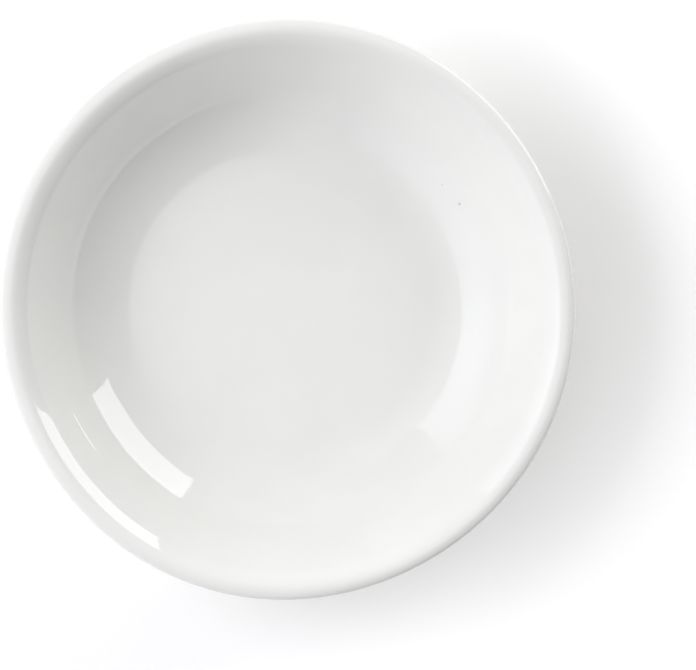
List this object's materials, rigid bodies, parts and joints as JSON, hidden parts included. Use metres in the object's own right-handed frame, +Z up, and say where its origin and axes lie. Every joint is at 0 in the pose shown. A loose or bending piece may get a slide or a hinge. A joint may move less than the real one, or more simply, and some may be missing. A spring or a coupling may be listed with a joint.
{
  "type": "soy sauce dish",
  "caption": "Small round glazed porcelain dish for soy sauce or dips, with a flat well, a flared wall, a rounded lip and a bare foot ring.",
  "frame": {"origin": "centre of the foot ring, in the plane that it stands on", "axes": "+Z up along the dish's axis of symmetry; X and Y lie in the plane that it stands on and are alike"},
  "size_m": [0.096, 0.096, 0.021],
  "materials": {
    "bare_porcelain": "matte, unglazed",
    "white_glaze": "glossy"
  },
  "bodies": {
    "root": {"porcelain_body": "bare_porcelain", "glaze_coat": "white_glaze", "base_glaze": "white_glaze"}
  },
  "joints": []
}
